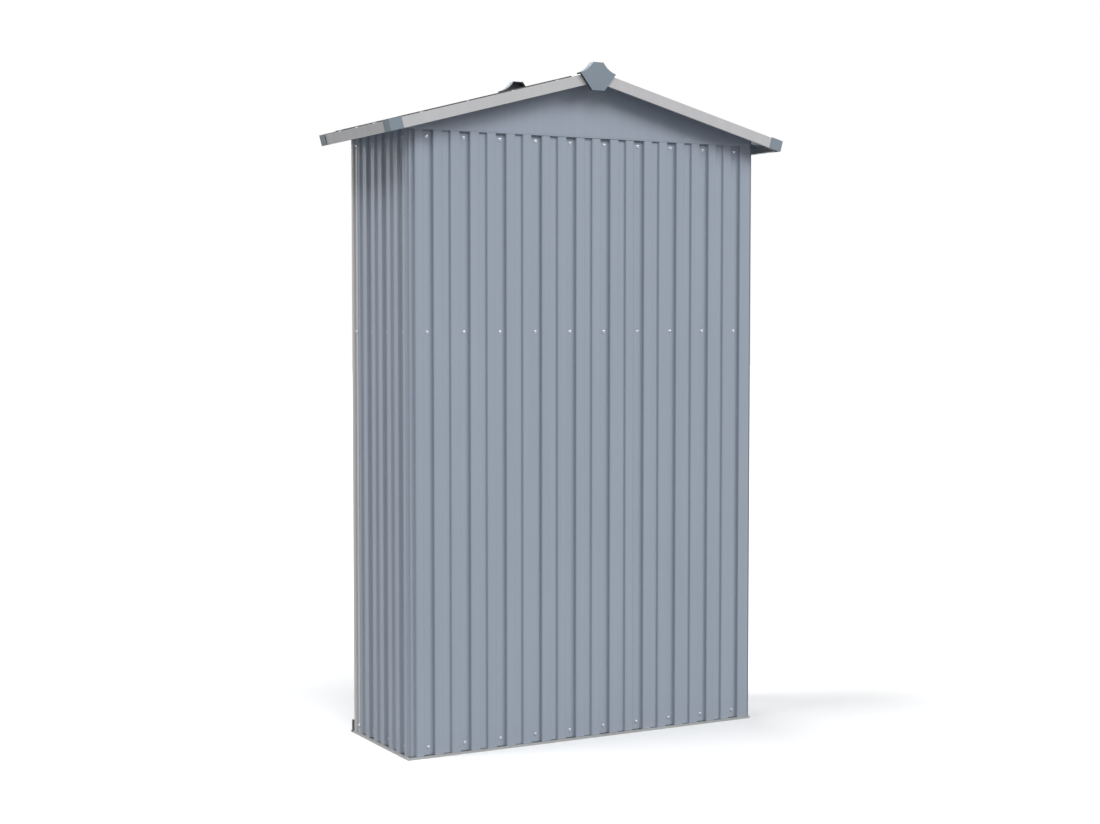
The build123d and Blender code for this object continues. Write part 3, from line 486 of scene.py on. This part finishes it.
def moulded(name, dark, light, rubbed, hollow_shade, roughness, edge_radius):
    """Grained plastic, rubbed paler on its edges, with painted shade on the faces that look inward or down.
    """
    material, tree, shader = new_material(name)
    grain = use(tree, moulded_grain, Scale=900.0)
    edge = use(tree, soft_edge, Radius=edge_radius)
    # Painted shade: faces that look towards the middle of the shed or downward take the dark hollow colour.
    outlook = facing(tree)
    inward = span(tree, maths(tree, "MULTIPLY", outlook["Y"], spot(tree)["Y"]), -0.02, -0.12)
    shaded_faces = maths(tree, "MAXIMUM", inward, span(tree, outlook["Z"], -0.2, -0.6))
    colour = tint(tree, grain["Shade"], (*dark, 1), (*light, 1))
    colour = tint(tree, maths(tree, "MULTIPLY", edge["Wear"], 0.4), colour, (*rubbed, 1))
    join(tree, shader["Base Color"], tint(tree, shaded_faces, colour, (*hollow_shade, 1)))
    join(tree, shader["Roughness"], span(tree, grain["Shade"], 0.3, 0.7, roughness + 0.05, roughness - 0.05))
    emboss(tree, shader, grain["Height"], edge["Normal"], 0.25, 0.0002)
    return material


# The fifth colour is the painted shade on the faces that look inward or down.
cap_plastic = moulded("cap_plastic", (0.195, 0.243, 0.292), (0.225, 0.277, 0.330), (0.30, 0.35, 0.40),
                      (0.035, 0.040, 0.047), 0.52, 0.0007)
dress(cap_plastic, "rear_corner_cap_right", "rear_corner_cap_left", "front_corner_cap_right",
      "front_corner_cap_left", "rear_ridge_cap", "front_ridge_cap")


# Verge shade strips.
# Near-black strips in the outer pans of the roof sheets along the verge trims, standing a little above
# them from the ridge strip to the corner caps: painted shade for the shaded edge of the roof sheets.

SHADE_STRIP_ENDS = (0.0626, 0.5630)    # along the slope
SHADE_STRIP_SIDES = (0.1945, 0.1995)   # across it
SHADE_STRIP_LEVELS = (-0.0089, 0.0030)     # from the top of the trims
SHADE_STRIP_ROUNDING = 0.0018

shade_strip_black = moulded("shade_strip_black", (0.030, 0.031, 0.033), (0.042, 0.043, 0.046), (0.08, 0.08, 0.085),
                      (0.020, 0.020, 0.022), 0.6, 0.0006)
shade_strip_middle = [sum(pair) / 2 for pair in (SHADE_STRIP_ENDS, SHADE_STRIP_SIDES, SHADE_STRIP_LEVELS)]
shade_strip_size = [pair[1] - pair[0] for pair in (SHADE_STRIP_ENDS, SHADE_STRIP_SIDES, SHADE_STRIP_LEVELS)]
shade_strips = bmesh.new()
for turn in (0, math.pi):
    for sign in (1, -1):
        along_verge = Vector((shade_strip_middle[0], sign * shade_strip_middle[1], shade_strip_middle[2]))
        on_slope = Matrix.Translation((0, 0, TRIM_APEX)) @ Matrix.Rotation(turn, 4, "Z")
        on_slope = on_slope @ Matrix.Rotation(ROOF_PITCH, 4, "Y") @ Matrix.Translation(along_verge)
        full_size = on_slope @ Matrix.Diagonal((*shade_strip_size, 1))
        strip = bmesh.ops.create_cube(shade_strips, size=1, matrix=full_size)["verts"]
        upper = {vert for vert in strip if (on_slope.inverted() @ vert.co).z > 0}
        rim = [edge for edge in shade_strips.edges
               if upper.issuperset(edge.verts) and edge.calc_length() > shade_strip_size[0] / 2]
        bmesh.ops.bevel(shade_strips, geom=rim, offset=SHADE_STRIP_ROUNDING, affect="EDGES", segments=3, profile=0.5,
                        material=-1)
finish_piece("verge_shade_strips", shade_strips, shade_strip_black, "shed")


# Doors.
# Each door is a ribbed sheet held in a frame of folded channels, painted like the walls. Blind rivets join
# the rails to the stiles and hold the brace to the valley floors.

RIVET_RADIUS = 0.003
RIVET_RINGS = ((0.0, 0.30), (0.3, 0.32), (0.38, 0.40), (0.62, 0.38), (0.88, 0.24), (1.0, 0.06), (1.0, 0.0))
RIVET_STEPS = 16
FRAME_FACE = -0.1763
VALLEY_FLOOR = -0.1673
STILE_MIDDLES = (0.0195, 0.4325)
RAIL_ENDS = (0.047, 0.405)
RAIL_MIDDLES = (0.0545, 1.5425)
RIVET_SPREAD = 0.009
DEEP_VALLEYS = (0.128, 0.226, 0.324)


def blind_rivet():
    """Domed head with the dimple that its mandrel leaves."""
    rivet = bmesh.new()
    outline = [rivet.verts.new((out * RIVET_RADIUS, 0, up * RIVET_RADIUS)) for out, up in RIVET_RINGS]
    outline += [rivet.edges.new(pair) for pair in zip(outline, outline[1:])]
    bmesh.ops.spin(rivet, geom=outline, cent=(0, 0, 0), axis=(0, 0, 1), dvec=(0, 0, 0), angle=math.tau,
                   steps=RIVET_STEPS, use_merge=True)
    bmesh.ops.remove_doubles(rivet, verts=rivet.verts, dist=1e-6)
    bmesh.ops.holes_fill(rivet, edges=[edge for edge in rivet.edges if edge.is_boundary], sides=0)
    bmesh.ops.recalc_face_normals(rivet, faces=rivet.faces)
    return rivet


brace_low, brace_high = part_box("right_door_brace")
brace_z = (brace_low.z + brace_high.z) / 2
for side, sign in (("right", 1), ("left", -1)):
    door = f"{side}_door"
    for piece in ("panel", "hinge_stile", "meeting_stile", "top_rail", "bottom_rail", "brace"):
        dress(wall_paint, f"{door}_{piece}")
    places = [((sign * x, FRAME_FACE, z + spread), (0, -1, 0)) for x in STILE_MIDDLES + RAIL_ENDS
              for z in RAIL_MIDDLES for spread in (-RIVET_SPREAD, RIVET_SPREAD)]
    places += [((sign * x, VALLEY_FLOOR, brace_z), (0, -1, 0)) for x in DEEP_VALLEYS]
    fasten(f"{door}_rivets", blind_rivet(), places, bolt_steel, door)


# Hinges.
# Pressed butt hinges, zinc plated, on the faces of the posts and the hinge stiles, with three screws a leaf.

LEAF_FACE = -0.1778
POST_LEAF = 0.468               # middles of the leaves
DOOR_LEAF = 0.434
HINGE_HALF = 0.030
LEAF_SCREWS = ((0.0, -0.020), (0.005, 0.0), (0.0, 0.020))
HINGE_SCREW_RADIUS = 0.0033
SCREWED_LEAVES = (              # piece, body, middle of the leaf, sides of the shed, side of the pin
    ("post_hinge_screws", "shed", POST_LEAF, (1, -1), 1),
    ("right_door_hinge_screws", "right_door", DOOR_LEAF, (1,), -1),
    ("left_door_hinge_screws", "left_door", DOOR_LEAF, (-1,), -1),
)

hardware_steel = plated("hardware_steel", (0.36, 0.365, 0.37), (0.48, 0.485, 0.49), 0.36)
dress(hardware_steel, "post_hinge_leaves", "right_door_hinge_leaves", "left_door_hinge_leaves", "hinge_pins")
hinge_low, hinge_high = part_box("right_door_hinge_leaves")
hinge_heights = (hinge_low.z + HINGE_HALF, (hinge_low.z + hinge_high.z) / 2, hinge_high.z - HINGE_HALF)
for name, body, x, signs, outward in SCREWED_LEAVES:
    places = [((sign * (x + outward * across), LEAF_FACE, z + up), (0, -1, 0))
              for sign in signs for z in hinge_heights for across, up in LEAF_SCREWS]
    fasten(name, low_screw(HINGE_SCREW_RADIUS), places, hardware_steel, body)


# Pull handles.
# Moulded black plastic bows, screwed to the meeting stiles from behind.

handle_plastic = moulded("handle_plastic", (0.022, 0.022, 0.024), (0.032, 0.032, 0.034), (0.07, 0.07, 0.072),
                         (0.015, 0.015, 0.016), 0.48, 0.0009)
dress(handle_plastic, "right_door_handle", "left_door_handle")


# Barrel bolt.
# A zinc-plated plate with two guides and a sliding bolt on the right-hand door, and a keeper on the other.

LATCH_SCREW_RADIUS = 0.0027
LATCH_SCREW_LEVELS = (0.837, 0.863)
LATCH_SCREWS = (                # piece, body and columns
    ("latch_plate_screws", "right_door", (0.012, 0.066)),
    ("keeper_screws", "left_door", (-0.018,)),
)

dress(hardware_steel, "latch_housing", "latch_bolt", "latch_keeper")
for name, body, columns in LATCH_SCREWS:
    places = [((x, LEAF_FACE, z), (0, -1, 0)) for x in columns for z in LATCH_SCREW_LEVELS]
    fasten(name, low_screw(LATCH_SCREW_RADIUS), places, hardware_steel, body)


# Studio.
# A plain white floor with the shed's shadow, a white surround, a soft sky, three broad lamps behind and above
# the shed, and one in front for the doors.

FLOOR_HALF = 30.0
FLOOR_SHOWN = (0.92, 0.92, 0.92, 1)
FLOOR_BOUNCED = (0.20, 0.20, 0.205, 1)
SKY_COLOUR = (0.97, 0.985, 1.0, 1)
SKY_STRENGTH = 0.26
LAMPS = (                       # name, direction, strength and degrees of spread
    ("rear_left_lamp", (-0.60, 0.60, 0.53), 1.48, 30),
    ("rear_lamp", (0.15, 0.74, 0.66), 1.20, 30),
    ("high_lamp", (0.42, -0.10, 0.90), 1.66, 22),
    ("front_lamp", (0.10, -0.92, 0.37), 1.40, 30),
)
CAMERA_PLACE = Vector((2.36727, 4.31530, 1.10149))
CAMERA_YAW = math.radians(28.600)
CAMERA_PITCH = math.radians(-2.949)
CAMERA_REACH = 200.0
SENSOR_WIDTH = 36.0
PICTURE_WIDTH = 1100.0          # in pixels, like the focal length
FOCAL_LENGTH = 1838.43

floor_shape = bmesh.new()
bmesh.ops.create_grid(floor_shape, x_segments=1, y_segments=1, size=FLOOR_HALF)
floor_mesh = bpy.data.meshes.new("floor")
floor_shape.to_mesh(floor_mesh)
floor_shape.free()
floor = bpy.data.objects.new("floor", floor_mesh)
bpy.context.scene.collection.objects.link(floor)


def seen_directly(tree):
    """1 for rays from the camera and for reflections, 0 for light that bounces between surfaces."""
    rays = add(tree, "LightPath").outputs
    mirrored = maths(tree, "MAXIMUM", rays["Is Glossy Ray"], rays["Is Transmission Ray"])
    return maths(tree, "MAXIMUM", rays["Is Camera Ray"], mirrored)


def choose(tree, bounced, shown, output):
    """Send one shader to the output for what is seen directly, and another for the light that bounces."""
    choice = add(tree, "MixShader", None, Fac=seen_directly(tree))
    join(tree, choice.inputs[1], bounced)
    join(tree, choice.inputs[2], shown)
    join(tree, tree.nodes[output].inputs["Surface"], choice.outputs[0])


floor_paint = bpy.data.materials.new("floor_paint")
floor_paint.use_nodes = True
tree = floor_paint.node_tree
tree.nodes.remove(tree.nodes["Principled BSDF"])
shown = add(tree, "BsdfDiffuse", None, Color=FLOOR_SHOWN)
bounced = add(tree, "BsdfDiffuse", None, Color=FLOOR_BOUNCED)
choose(tree, bounced.outputs[0], shown.outputs[0], "Material Output")
floor_mesh.materials.append(floor_paint)

world = bpy.data.worlds.new("surround")
world.use_nodes = True
bpy.context.scene.world = world
tree = world.node_tree
sky = tree.nodes["Background"]
sky.inputs["Color"].default_value = SKY_COLOUR
sky.inputs["Strength"].default_value = SKY_STRENGTH
white = add(tree, "Background", None, Color=(1, 1, 1, 1), Strength=1.0)
choose(tree, sky.outputs[0], white.outputs[0], "World Output")

for name, towards, strength, spread in LAMPS:
    light = bpy.data.lights.new(name, "SUN")
    light.energy = strength
    light.angle = math.radians(spread)
    lamp = bpy.data.objects.new(name, light)
    lamp.rotation_euler = Vector(towards).to_track_quat("Z", "Y").to_euler()
    bpy.context.scene.collection.objects.link(lamp)

camera_data = bpy.data.cameras.new("camera")
camera_data.lens = SENSOR_WIDTH * FOCAL_LENGTH / PICTURE_WIDTH
camera_data.sensor_width = SENSOR_WIDTH
camera_data.clip_end = CAMERA_REACH
camera = bpy.data.objects.new("camera", camera_data)
level = math.cos(CAMERA_PITCH)
forward = Vector((-math.sin(CAMERA_YAW) * level, -math.cos(CAMERA_YAW) * level, math.sin(CAMERA_PITCH)))
camera.location = CAMERA_PLACE
camera.rotation_euler = forward.to_track_quat("-Z", "Y").to_euler()
bpy.context.scene.collection.objects.link(camera)
bpy.context.scene.camera = camera
bpy.context.scene.view_settings.view_transform = "Standard"
